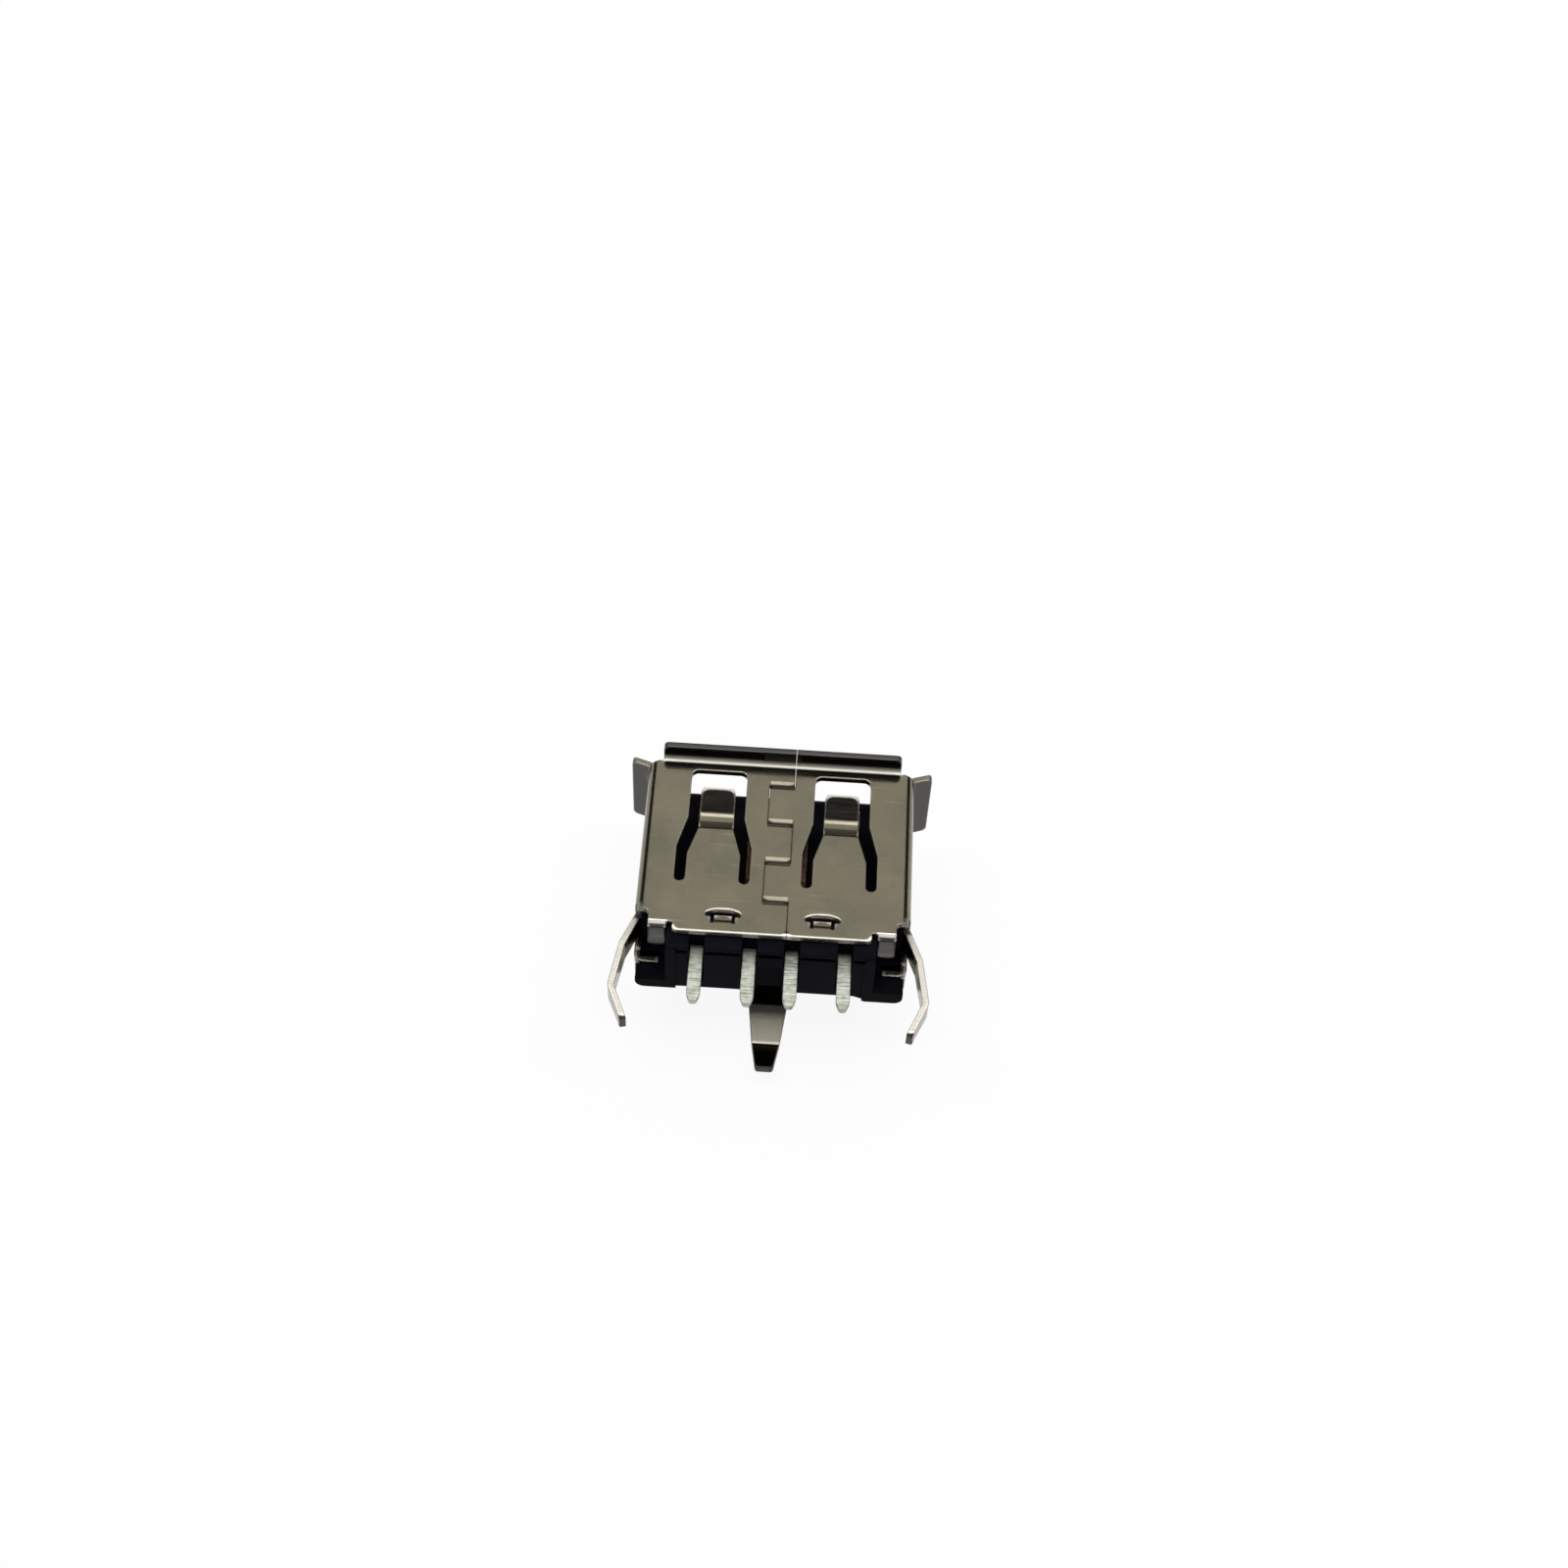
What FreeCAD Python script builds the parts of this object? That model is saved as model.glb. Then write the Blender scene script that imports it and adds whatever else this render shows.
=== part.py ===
import FreeCAD, Part
import math
import os

# Straight type-A receptacle: a folded sheet shell round a black moulding with four flat contacts.
# Millimetres. While it is built, X runs across the socket, Y from the board to the mouth with
# zero at the rear edge of the seam wall, and Z from the far wall to the seam wall with zero
# half-way up the shell. At the end everything is moved so that the socket lies on Z = 0.

V = FreeCAD.Vector
AXIS_X = V(1, 0, 0)
AXIS_Y = V(0, 1, 0)
AXIS_Z = V(0, 0, 1)
ORIGIN = V(0, 0, 0)

# Shell
shell_width = 13.1
shell_height = 5.7
shell_length = 10.35
sheet = 0.3
corner_radius = 0.7
far_wall_start = 0.75
bend_radius = 0.15

# Flanges round the mouth
seam_flange_reach = 0.9
far_flange_reach = 0.95
side_flap_reach = 0.9
side_flap_lean = 18.0
flange_corner = 0.25

# Spring fingers, two in the seam wall and two in the far wall
finger_spacing = 6.06
finger_knee = 6.1
finger_valley = 6.8
finger_tip = 8.42
finger_knee_dip = 0.2
finger_valley_dip = 0.72
finger_tip_dip = -0.05
finger_bend_radius = 0.3
finger_valley_radius = 0.8
finger_tip_width = 1.68
finger_root_width = 2.56
finger_taper_start = 4.5
finger_taper_end = 6.1
window_front = 9.42
window_width = 2.72
window_root_width = 3.6
window_taper_start = 4.85
window_taper_end = 6.6
window_corner = 0.35
slot_end = 2.82

# Toothed seam down the middle of the seam wall
seam_gap = 0.02
seam_right = 0.68
seam_left = -0.54
seam_steps = 4
seam_first_step = 1.95
seam_pitch = 2.27
coin_height = 0.5
coin_depth = 0.05
coin_slope = 0.16

# Lanced stops that hold the moulding
lance_width = 1.67
lance_crown_width = 0.8
lance_root_width = 1.15
lance_shoulder = 0.36
lance_side = 0.58
lance_height = 0.75
lance_crown_radius = 0.8
lance_side_radius = 0.15
lance_corner = 0.08
lance_tab_width = 0.85
lance_tab_length = 0.65
lance_tab_drop = 0.36
lance_tab_angle = 75.0
lance_tab_bend = 0.12
seam_lance_spacing = 4.7
seam_lance_start = 0.54
far_lance_side = 1.05
far_lance_start = 0.98

# Corner tabs of the seam wall, bent down over the moulding
corner_tab_width = 0.85
corner_tab_gap = 0.3
corner_tab_bend = 0.3
corner_tab_drop = 1.45
corner_tab_radius = 0.2
corner_slot_end = 1.1
corner_slot_radius = 0.25
rear_corner_radius = 0.2
side_slot_end = 1.6

# Side tabs, bent inwards under the moulding's corners
side_tab_width = 0.45
side_tab_top = -0.15
side_tab_bend = 0.2
side_tab_reach = 1.05

# Three board locks with one kinked profile
leg_start = 1.9
leg_first_bend = 0.15
leg_second_bend = -2.1
leg_tip = -3.84
leg_first_offset = 0.68
leg_second_offset = 1.02
centre_leg_first_bend = -0.95
centre_leg_first_offset = 0.6
leg_tip_offset = 0.28
leg_bend_radius = 0.35
leg_tip_width = 0.85
leg_tip_radius = 0.38
side_leg_top = 1.2
side_leg_width = 1.3
centre_leg_width = 2.0
leg_relief = 0.35

# Moulding
mould_clearance = 0.05
block_front = 2.3
board_seat = -0.87
rear_face = -0.75
rear_block_bottom = -0.87
right_foot_bottom = -1.1
left_foot_bottom = -0.9
foot_side_step = 0.15
post_width = 0.5
foot_radius = 0.45
post_radius = 0.2
foot_slope_inside = 0.42
foot_slope_outside = 0.14
pocket_floor = -0.25
pocket_depth = 1.3
tongue_side_gap = 0.7
tongue_thickness = 1.84
tongue_gap = 0.7
tongue_recess = 0.05
tongue_chamfer = 0.3
middle_recess_width = 1.2
middle_recess_depth = 0.3
middle_recess_top = 1.2
lip_thickness = 0.22
lip_groove_height = 0.25
lip_groove_depth = 0.15

# Contacts
contact_thickness = 0.3
tail_width = 0.65
beam_width = 1.0
contact_clearance = 0.03
tail_slot_clearance = 0.05
tail_level = 1.4
tail_tip = -3.02
tail_slot_end = 0.05
jog_start = 0.55
jog_end = 1.15
beam_rise = 5.2
hump_place = 7.9
hump_height = 0.75
beam_tip = 9.4
contact_bend_radius = 0.2
tail_tip_length = 0.42
tail_tip_width = 0.3
tail_side_radius = 0.8
tail_tip_radius = 0.14
groove_depth = 0.75
outer_pitch = 2.5
inner_pitch = 2.0

# How far a cut runs past what it cuts, how far joined pieces reach into each other, and how
# near two places are the same
past = 1.0
overlap = 0.4
nearness = 1e-6

# Places worked out from the sizes above
half_width = shell_width / 2
half_height = shell_height / 2
seam_sheet_middle = half_height - sheet / 2
side_sheet_middle = half_width - sheet / 2
flange_middle = shell_length - sheet / 2
straight_front = flange_middle - bend_radius - sheet / 2
flat_width = shell_width - 2 * corner_radius
flat_height = shell_height - 2 * corner_radius
slot_width = (window_root_width - finger_root_width) / 2
finger_root = slot_end + slot_width / 2
tongue_top = -half_height + sheet + tongue_gap + tongue_thickness
beam_level = tongue_top - contact_thickness / 2 - contact_clearance
mould_width = shell_width - 2 * sheet - 2 * mould_clearance
mould_height = shell_height - 2 * sheet - 2 * mould_clearance
mould_top = mould_height / 2
pocket_inner = flat_width / 2 - corner_tab_width - mould_clearance
foot_inner = pocket_inner - post_width
foot_outer = half_width - foot_side_step
tongue_width = shell_width - 2 * sheet - 2 * tongue_side_gap
far_lance_spacing = flat_width - 2 * far_lance_side


def box(x_low, x_high, y_low, y_high, z_low, z_high):
    """A block between two limits on each axis."""
    return Part.makeBox(x_high - x_low, y_high - y_low, z_high - z_low, V(x_low, y_low, z_low))


def rounded_face(corners):
    """A flat face in X and Y. Each corner is x, y and the radius that rounds it, or zero."""
    count = len(corners)
    starts = []
    ends = []
    arcs = []
    for index in range(count):
        x, y, radius = corners[index]
        point = V(x, y, 0)
        before = V(corners[index - 1][0], corners[index - 1][1], 0)
        after = V(corners[(index + 1) % count][0], corners[(index + 1) % count][1], 0)
        to_before = (before - point).normalize()
        to_after = (after - point).normalize()
        if radius == 0:
            starts.append(point)
            ends.append(point)
            continue
        half_angle = to_before.getAngle(to_after) / 2
        setback = radius / math.tan(half_angle)
        start = point + to_before * setback
        end = point + to_after * setback
        inward = (to_before + to_after).normalize()
        middle = point + inward * (radius / math.sin(half_angle) - radius)
        starts.append(start)
        ends.append(end)
        arcs.append(Part.Arc(start, middle, end).toShape())
    lines = []
    for index in range(count):
        line_start = ends[index - 1]
        line_end = starts[index]
        if line_start.distanceToPoint(line_end) > nearness:
            lines.append(Part.LineSegment(line_start, line_end).toShape())
    edges = Part.__sortEdges__(lines + arcs)
    return Part.Face(Part.Wire(edges))


def rounded_plate(corners, z_low, z_high):
    """The rounded outline as a plate between two heights."""
    face = rounded_face(corners)
    face.translate(V(0, 0, z_low))
    return face.extrude(V(0, 0, z_high - z_low))


def along_socket(corners, y_low, y_high):
    """A bar along Y whose outline is given by corners of X, Z and a rounding radius."""
    face = rounded_face(corners)
    face.rotate(ORIGIN, AXIS_X, 90)
    face.translate(V(0, y_low, 0))
    return face.extrude(V(0, y_high - y_low, 0))


def bent_strip(points, width, thickness, inside_radius):
    """A strip of sheet whose middle line runs through points of Y and Z, with an arc at each bend.

    A third value in a point is the inside radius of that bend.
    """
    half = thickness / 2
    places = [V(0, point[0], point[1]) for point in points]
    edges = []
    rims = {}
    for side in (1, -1):
        last = None
        for index in range(len(places)):
            point = places[index]
            if index == 0:
                along = (places[1] - point).normalize()
                last = point + AXIS_X.cross(along) * (half * side)
                rims[side] = [last]
                continue
            along = (point - places[index - 1]).normalize()
            across = AXIS_X.cross(along)
            if index == len(places) - 1:
                end = point + across * (half * side)
                edges.append(Part.LineSegment(last, end).toShape())
                rims[side].append(end)
                continue
            onward = (places[index + 1] - point).normalize()
            own_radius = points[index][2] if len(points[index]) > 2 else inside_radius
            middle_radius = own_radius + half
            turn = along.getAngle(onward)
            direction = 1 if along.cross(onward).dot(AXIS_X) > 0 else -1
            setback = middle_radius * math.tan(turn / 2)
            centre = point - along * setback + across * (middle_radius * direction)
            radius = middle_radius - half * side * direction
            arc_start = centre - across * (radius * direction)
            arc_end = centre - AXIS_X.cross(onward) * (radius * direction)
            arc_middle = centre + (point - centre).normalize() * radius
            edges.append(Part.LineSegment(last, arc_start).toShape())
            edges.append(Part.Arc(arc_start, arc_middle, arc_end).toShape())
            last = arc_end
    edges.append(Part.LineSegment(rims[1][0], rims[-1][0]).toShape())
    edges.append(Part.LineSegment(rims[1][1], rims[-1][1]).toShape())
    face = Part.Face(Part.Wire(Part.__sortEdges__(edges)))
    face.translate(V(-width / 2, 0, 0))
    return face.extrude(V(width, 0, 0))


def mirrored(shape):
    """The shape and its mirror image across the middle plane."""
    return [shape, shape.mirror(ORIGIN, AXIS_X)]


def on_far_wall(shape):
    """A feature of the seam wall turned over to the far wall."""
    return shape.mirror(ORIGIN, AXIS_Z)


def on_right_wall(shape):
    """A feature of the seam wall turned round to the right wall."""
    turned = shape.copy()
    turned.rotate(ORIGIN, AXIS_Y, 90)
    return turned


def moved(shape, x):
    """A copy of the shape at another place across the socket."""
    copy = shape.copy()
    copy.translate(V(x, 0, 0))
    return copy


def rounded_bar(width, height, radius, y_low, y_high):
    """A bar along Y with rounded long edges."""
    corners = [(-width / 2, -height / 2, radius), (width / 2, -height / 2, radius)]
    corners += [(width / 2, height / 2, radius), (-width / 2, height / 2, radius)]
    return along_socket(corners, y_low, y_high)


def spring_window():
    """The opening round a finger: a window at the front that runs on as two slots."""
    low = seam_sheet_middle - sheet
    high = half_height + sheet
    half_front = window_width / 2
    half_rear = window_root_width / 2
    opening = rounded_plate(
        [
            (-half_front, window_front, window_corner),
            (-half_front, window_taper_end, window_corner),
            (-half_rear, window_taper_start, window_corner),
            (-half_rear, finger_root, 0),
            (half_rear, finger_root, 0),
            (half_rear, window_taper_start, window_corner),
            (half_front, window_taper_end, window_corner),
            (half_front, window_front, window_corner),
        ],
        low,
        high,
    )
    for side in (-1, 1):
        middle = side * (half_rear - slot_width / 2)
        opening = opening.fuse(Part.makeCylinder(slot_width / 2, high - low, V(middle, finger_root, low)))
    return opening


def spring_finger():
    """A finger that dips inwards from its root, with its tip turned up again."""
    level = seam_sheet_middle
    strip = bent_strip(
        [
            (slot_end - overlap, level),
            (finger_root, level),
            (finger_knee, level - finger_knee_dip),
            (finger_valley, level - finger_valley_dip, finger_valley_radius),
            (finger_tip, level - finger_tip_dip),
        ],
        finger_root_width,
        sheet,
        finger_bend_radius,
    )
    half_tip = finger_tip_width / 2
    half_root = finger_root_width / 2
    outline = rounded_plate(
        [
            (-half_root, slot_end - overlap, 0),
            (half_root, slot_end - overlap, 0),
            (half_root, finger_taper_start, window_corner),
            (half_tip, finger_taper_end, window_corner),
            (half_tip, finger_tip, window_corner),
            (-half_tip, finger_tip, window_corner),
            (-half_tip, finger_taper_end, window_corner),
            (-half_root, finger_taper_start, window_corner),
        ],
        0,
        shell_height,
    )
    return strip.common(outline)


def kinked_leg(width, level, first_bend, first_offset):
    """A board lock in line with a wall at the given level, tapered to a round tip."""
    strip = bent_strip(
        [
            (leg_start + overlap, level),
            (leg_start, level),
            (first_bend, level + first_offset),
            (leg_second_bend, level + leg_second_offset),
            (leg_tip, level + leg_tip_offset),
        ],
        width,
        sheet,
        leg_bend_radius,
    )
    half_root = width / 2
    half_tip = leg_tip_width / 2
    far_end = leg_tip - sheet
    outline = rounded_plate(
        [
            (-half_root, leg_start + overlap, 0),
            (-half_root, leg_first_bend, leg_tip_radius),
            (-half_tip, far_end, leg_tip_radius),
            (half_tip, far_end, leg_tip_radius),
            (half_root, leg_first_bend, leg_tip_radius),
            (half_root, leg_start + overlap, 0),
        ],
        0,
        level + shell_height,
    )
    outline.translate(V(0, leg_tip - far_end - sheet / 2, 0))
    return strip.common(outline)


def with_round_end(strip, width, outer_edge):
    """A strip whose two outer corners are rounded, seen along Y."""
    half = width / 2
    corners = [(-half, 0, 0), (half, 0, 0)]
    corners += [(half, outer_edge, flange_corner), (-half, outer_edge, flange_corner)]
    return strip.common(along_socket(corners, 0, 2 * shell_length))


def mouth_flange(length, reach, level):
    """A flange turned square off a wall at the mouth."""
    outer_edge = level + sheet / 2 + reach
    strip = bent_strip(
        [(straight_front - overlap, level), (flange_middle, level), (flange_middle, outer_edge)],
        length,
        sheet,
        bend_radius,
    )
    return with_round_end(strip, length, outer_edge)


def side_flap():
    """A flap on a side wall at the mouth, which leans forwards a little."""
    lean = math.radians(side_flap_lean)
    level = side_sheet_middle
    rise = side_flap_reach + sheet / 2
    strip = bent_strip(
        [
            (straight_front - overlap, level),
            (straight_front + bend_radius, level),
            (straight_front + bend_radius + rise * math.tan(lean), level + rise),
        ],
        flat_height,
        sheet,
        bend_radius,
    )
    return with_round_end(strip, flat_height, level + rise)


def lance_opening(start):
    """An opening like a mushroom, with its crown towards the mouth and its stem round the tab."""
    half = lance_width / 2
    half_crown = lance_crown_width / 2
    half_root = lance_root_width / 2
    shoulder = start + lance_shoulder
    side = start + lance_side
    crown = start + lance_height
    corners = [
        (-half_root, start, 0),
        (half_root, start, 0),
        (half_root, shoulder, lance_corner),
        (half, shoulder, lance_corner),
        (half, side, lance_side_radius),
        (half_crown, crown, lance_crown_radius),
        (-half_crown, crown, lance_crown_radius),
        (-half, side, lance_side_radius),
        (-half, shoulder, lance_corner),
        (-half_root, shoulder, lance_corner),
    ]
    return rounded_plate(corners, seam_sheet_middle - sheet, seam_sheet_middle + sheet)


def lance_tab(start):
    """The tab of sheet stepped inwards from the rear of its opening, with its free end to the mouth."""
    first_bend = start + lance_tab_bend
    second_bend = first_bend + lance_tab_drop / math.tan(math.radians(lance_tab_angle))
    low = seam_sheet_middle - lance_tab_drop
    return bent_strip(
        [
            (start - overlap, seam_sheet_middle),
            (first_bend, seam_sheet_middle),
            (second_bend, low),
            (start + lance_tab_length, low),
        ],
        lance_tab_width,
        sheet,
        bend_radius / 2,
    )


def seam_cut():
    """The gap between the two edges of the sheet, with square teeth."""
    low = seam_sheet_middle - sheet
    high = half_height + seam_flange_reach + sheet
    half = seam_gap / 2
    cut = None
    run_start = -sheet
    for step in range(seam_steps + 1):
        place = seam_right if step % 2 == 0 else seam_left
        last = step == seam_steps
        run_end = shell_length + sheet if last else seam_first_step + step * seam_pitch
        run = box(place - half, place + half, run_start - half, run_end + half, low, high)
        cut = run if cut is None else cut.fuse(run)
        if not last:
            tooth_end = box(seam_left - half, seam_right + half, run_end - half, run_end + half, low, high)
            cut = cut.fuse(tooth_end)
        run_start = run_end
    return cut


def coined_marks():
    """Shallow pressed marks with sloping sides that stake each tooth of the seam."""
    floor = half_height - coin_depth
    above = half_height + coin_depth
    half_floor = coin_height / 2 - coin_slope
    half_above = coin_height / 2 + coin_slope
    marks = []
    for step in range(seam_steps):
        middle = seam_first_step + step * seam_pitch
        outline = [(-half_above, above), (-half_floor, floor), (half_floor, floor), (half_above, above)]
        corners = [V(seam_left, middle + y, z) for y, z in outline]
        face = Part.Face(Part.makePolygon(corners + corners[:1]))
        marks.append(face.extrude(V(seam_right - seam_left, 0, 0)))
    return marks


def corner_tab():
    """A tab of the seam wall bent down into the corner pocket of the moulding."""
    strip = bent_strip(
        [
            (corner_slot_end + overlap, seam_sheet_middle),
            (corner_tab_bend, seam_sheet_middle),
            (corner_tab_bend, seam_sheet_middle - corner_tab_drop),
        ],
        corner_tab_width,
        sheet,
        bend_radius,
    )
    half = corner_tab_width / 2
    bottom = seam_sheet_middle - corner_tab_drop
    corners = [(-half, bottom, corner_tab_radius), (half, bottom, corner_tab_radius)]
    corners += [(half, shell_height, 0), (-half, shell_height, 0)]
    rounded = strip.common(along_socket(corners, -past, corner_slot_end + past))
    return moved(rounded, flat_width / 2 - corner_tab_width / 2)


def side_tab():
    """A tab of the right wall bent inwards behind the corner of the moulding."""
    strip = bent_strip(
        [
            (far_wall_start + overlap, side_sheet_middle),
            (side_tab_bend, side_sheet_middle),
            (side_tab_bend, side_sheet_middle - side_tab_reach),
        ],
        side_tab_width,
        sheet,
        bend_radius,
    )
    turned = on_right_wall(strip)
    turned.translate(V(0, 0, side_tab_top - side_tab_width / 2))
    return turned


def centre_leg():
    """The far wall's board lock, which bends away from the wall later than those at the sides."""
    return kinked_leg(centre_leg_width, seam_sheet_middle, centre_leg_first_bend, centre_leg_first_offset)


def side_leg():
    """The board lock of the right wall."""
    leg = kinked_leg(side_leg_width, side_sheet_middle, leg_first_bend, leg_first_offset)
    turned = on_right_wall(leg)
    turned.translate(V(0, 0, side_leg_top - side_leg_width / 2))
    return turned


def corner_slot():
    """The slot between a corner tab and the side wall, with a rounded end."""
    slot_inside = flat_width / 2
    outside = half_width + sheet
    corners = [
        (slot_inside, -sheet, 0),
        (outside, -sheet, 0),
        (outside, corner_slot_end, 0),
        (slot_inside, corner_slot_end, corner_slot_radius),
    ]
    return rounded_plate(corners, half_height - 2 * sheet, half_height + sheet)


def rear_corner(x):
    """What rounds the rear corner of the seam wall beside the tab's gap."""
    radius = rear_corner_radius
    low = half_height - 2 * sheet
    corner = box(x - radius, x + sheet, -sheet, radius, low, half_height + sheet)
    return corner.cut(Part.makeCylinder(radius, 4 * sheet, V(x - radius, radius, low)))


def rear_trim():
    """What is cut from the right rear of the folded tube, up to each wall's own edge."""
    outside = half_width + sheet
    above = half_height + sheet
    corner_inside = flat_width / 2 - corner_tab_width - corner_tab_gap
    far_edge = box(centre_leg_width / 2 + leg_relief, outside, -sheet, far_wall_start, -above, side_tab_top)
    relief = box(0, centre_leg_width / 2 + leg_relief, -sheet, leg_start, -above, -half_height + 2 * sheet)
    side_edge = box(half_width - 2 * sheet, outside, -sheet, far_wall_start, side_tab_top, side_leg_top)
    leg_low = side_leg_top - side_leg_width
    leg_place = box(half_width - 2 * sheet, outside, -sheet, leg_start, leg_low, side_leg_top)
    tab_place = box(corner_inside, outside, -sheet, corner_tab_bend + sheet / 2, side_leg_top, above)
    side_slot = box(half_width - 2 * sheet, outside, -sheet, side_slot_end, side_leg_top, half_height - sheet)
    edges = [far_edge, relief, side_edge, leg_place, tab_place, side_slot]
    return edges + [corner_slot(), rear_corner(corner_inside)]


def make_shell():
    """The folded shell with its flanges, springs, tabs and legs."""
    tube = rounded_bar(shell_width, shell_height, corner_radius, 0, straight_front)
    inside_width = shell_width - 2 * sheet
    inside_height = shell_height - 2 * sheet
    hollow = rounded_bar(inside_width, inside_height, corner_radius - sheet, -sheet, shell_length)
    tube = tube.cut(hollow)
    cuts = []
    for trim in rear_trim():
        cuts += mirrored(trim)
    window = spring_window()
    for side in (-1, 1):
        placed = moved(window, side * finger_spacing / 2)
        cuts += [placed, on_far_wall(placed)]
        cuts.append(moved(lance_opening(seam_lance_start), side * seam_lance_spacing / 2))
        cuts.append(on_far_wall(moved(lance_opening(far_lance_start), side * far_lance_spacing / 2)))
    tube = tube.cut(cuts)

    pieces = [
        mouth_flange(flat_width, seam_flange_reach, seam_sheet_middle),
        on_far_wall(mouth_flange(flat_width, far_flange_reach, seam_sheet_middle)),
        on_far_wall(centre_leg()),
    ]
    pieces += mirrored(on_right_wall(side_flap()))
    pieces += mirrored(corner_tab())
    pieces += mirrored(side_tab())
    pieces += mirrored(side_leg())
    finger = spring_finger()
    for side in (-1, 1):
        placed = moved(finger, side * finger_spacing / 2)
        pieces += [placed, on_far_wall(placed)]
        pieces.append(moved(lance_tab(seam_lance_start), side * seam_lance_spacing / 2))
        pieces.append(on_far_wall(moved(lance_tab(far_lance_start), side * far_lance_spacing / 2)))
    shell = tube.fuse(pieces)
    shell = shell.cut([seam_cut()] + coined_marks())
    return shell.removeSplitter()


def contact_path():
    """The middle line of a contact from its tail to the tip of its beam."""
    return [
        (tail_tip, tail_level),
        (jog_start, tail_level),
        (jog_end, beam_level),
        (beam_rise, beam_level),
        (hump_place, tongue_top + hump_height),
        (beam_tip, tongue_top),
    ]


def make_contact(x):
    """One contact at its place across the socket."""
    strip = bent_strip(contact_path(), beam_width, contact_thickness, contact_bend_radius)
    half_tail = tail_width / 2
    half_beam = beam_width / 2
    tail_taper_start = tail_tip + tail_tip_length
    outline = rounded_plate(
        [
            (-half_tail, tail_taper_start, tail_side_radius),
            (-tail_tip_width / 2, tail_tip, tail_tip_radius),
            (tail_tip_width / 2, tail_tip, tail_tip_radius),
            (half_tail, tail_taper_start, tail_side_radius),
            (half_tail, jog_start, 0),
            (half_beam, jog_end, 0),
            (half_beam, beam_tip + contact_thickness, 0),
            (-half_beam, beam_tip + contact_thickness, 0),
            (-half_beam, jog_end, 0),
            (-half_tail, jog_start, 0),
        ],
        -half_height,
        half_height,
    )
    return moved(strip.common(outline), x)


def contact_passage():
    """The space that the moulding leaves for a contact inside its block."""
    clear = 2 * contact_clearance
    strip = bent_strip(contact_path(), beam_width + clear, contact_thickness + clear, contact_bend_radius)
    reach = box(-beam_width, beam_width, tail_slot_end, block_front, -half_height, half_height)
    return strip.common(reach)


def mould_base():
    """The block that fills the rear of the shell and stands out behind it."""
    base = rounded_bar(mould_width, mould_height, corner_radius - sheet, rear_face, block_front)
    rear = rear_face - past
    under_left = box(-half_width, 0, rear, far_wall_start, -half_height, left_foot_bottom)
    under_right = box(0, half_width, rear, far_wall_start, -half_height, right_foot_bottom)
    under_middle = box(-foot_inner, foot_inner, rear, far_wall_start, -half_height, rear_block_bottom)
    return base.cut([under_left, under_right, under_middle])


def mould_foot(bottom):
    """The right foot: a post up the side of the pocket, a pad under it and a slope up to the block."""
    slope_start = foot_inner - foot_slope_inside
    slope_end = foot_inner + foot_slope_outside
    share = foot_slope_inside / (foot_slope_inside + foot_slope_outside)
    on_slope = rear_block_bottom + (bottom - rear_block_bottom) * share
    post_corners = [
        (foot_inner, on_slope, 0),
        (slope_end, bottom, 0),
        (pocket_inner, bottom, 0),
        (pocket_inner, mould_top, post_radius),
        (foot_inner, mould_top, post_radius),
    ]
    post = along_socket(post_corners, board_seat, rear_face + overlap)
    pad_corners = [
        (foot_inner, on_slope, 0),
        (slope_end, bottom, 0),
        (foot_outer, bottom, foot_radius),
        (foot_outer, pocket_floor, 0),
        (foot_inner, pocket_floor, 0),
    ]
    front = far_wall_start - mould_clearance
    pad = along_socket(pad_corners, board_seat, front)
    wedge_corners = [
        (slope_start, rear_block_bottom, 0),
        (foot_inner, on_slope, 0),
        (foot_inner, pocket_floor, 0),
        (slope_start, pocket_floor, 0),
    ]
    wedge = along_socket(wedge_corners, rear_face, front)
    return post.fuse([pad, wedge])


def tongue():
    """The tongue that carries the contacts, chamfered round its front."""
    front = shell_length - tongue_recess
    plate = box(
        -tongue_width / 2,
        tongue_width / 2,
        block_front - overlap,
        front,
        tongue_top - tongue_thickness,
        tongue_top,
    )
    front_edges = [edge for edge in plate.Edges if edge.CenterOfMass.y > front - nearness]
    return plate.makeChamfer(tongue_chamfer, front_edges)


def corner_pockets():
    """The corner pockets, with the notch in each pad for the tab of the side wall."""
    pocket = box(pocket_inner, half_width, board_seat - past, pocket_depth, pocket_floor, half_height)
    tab_inside = side_sheet_middle - side_tab_reach - mould_clearance
    tab_rear = side_tab_bend - sheet / 2 - mould_clearance
    tab_bottom = side_tab_top - side_tab_width - mould_clearance
    notch = box(tab_inside, half_width, tab_rear, far_wall_start, tab_bottom, side_tab_top)
    return mirrored(pocket) + mirrored(notch)


def lance_pocket(x, start):
    """The pocket under a lanced tab of the seam wall. Its front wall rests on the tab's free end."""
    half = lance_tab_width / 2 + mould_clearance
    depth = sheet + lance_tab_drop + mould_clearance
    rear = start - 2 * mould_clearance
    front = start + lance_tab_length + mould_clearance
    return box(x - half, x + half, rear, front, half_height - depth, half_height)


def contact_space(x):
    """The slot round a tail, the passage through the block and the groove under the beam."""
    slot_half = tail_width / 2 + tail_slot_clearance
    groove_half = beam_width / 2 + tail_slot_clearance
    groove_floor = beam_level - contact_thickness / 2 - contact_clearance
    groove_front = beam_tip + 2 * contact_clearance
    above = tongue_top + sheet
    slot = box(x - slot_half, x + slot_half, board_seat - past, tail_slot_end, beam_level, half_height)
    groove = box(x - groove_half, x + groove_half, block_front, groove_front, groove_floor, above)
    well = box(x - groove_half, x + groove_half, beam_rise, groove_front, tongue_top - groove_depth, above)
    return [slot, groove, well, moved(contact_passage(), x)]


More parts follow.
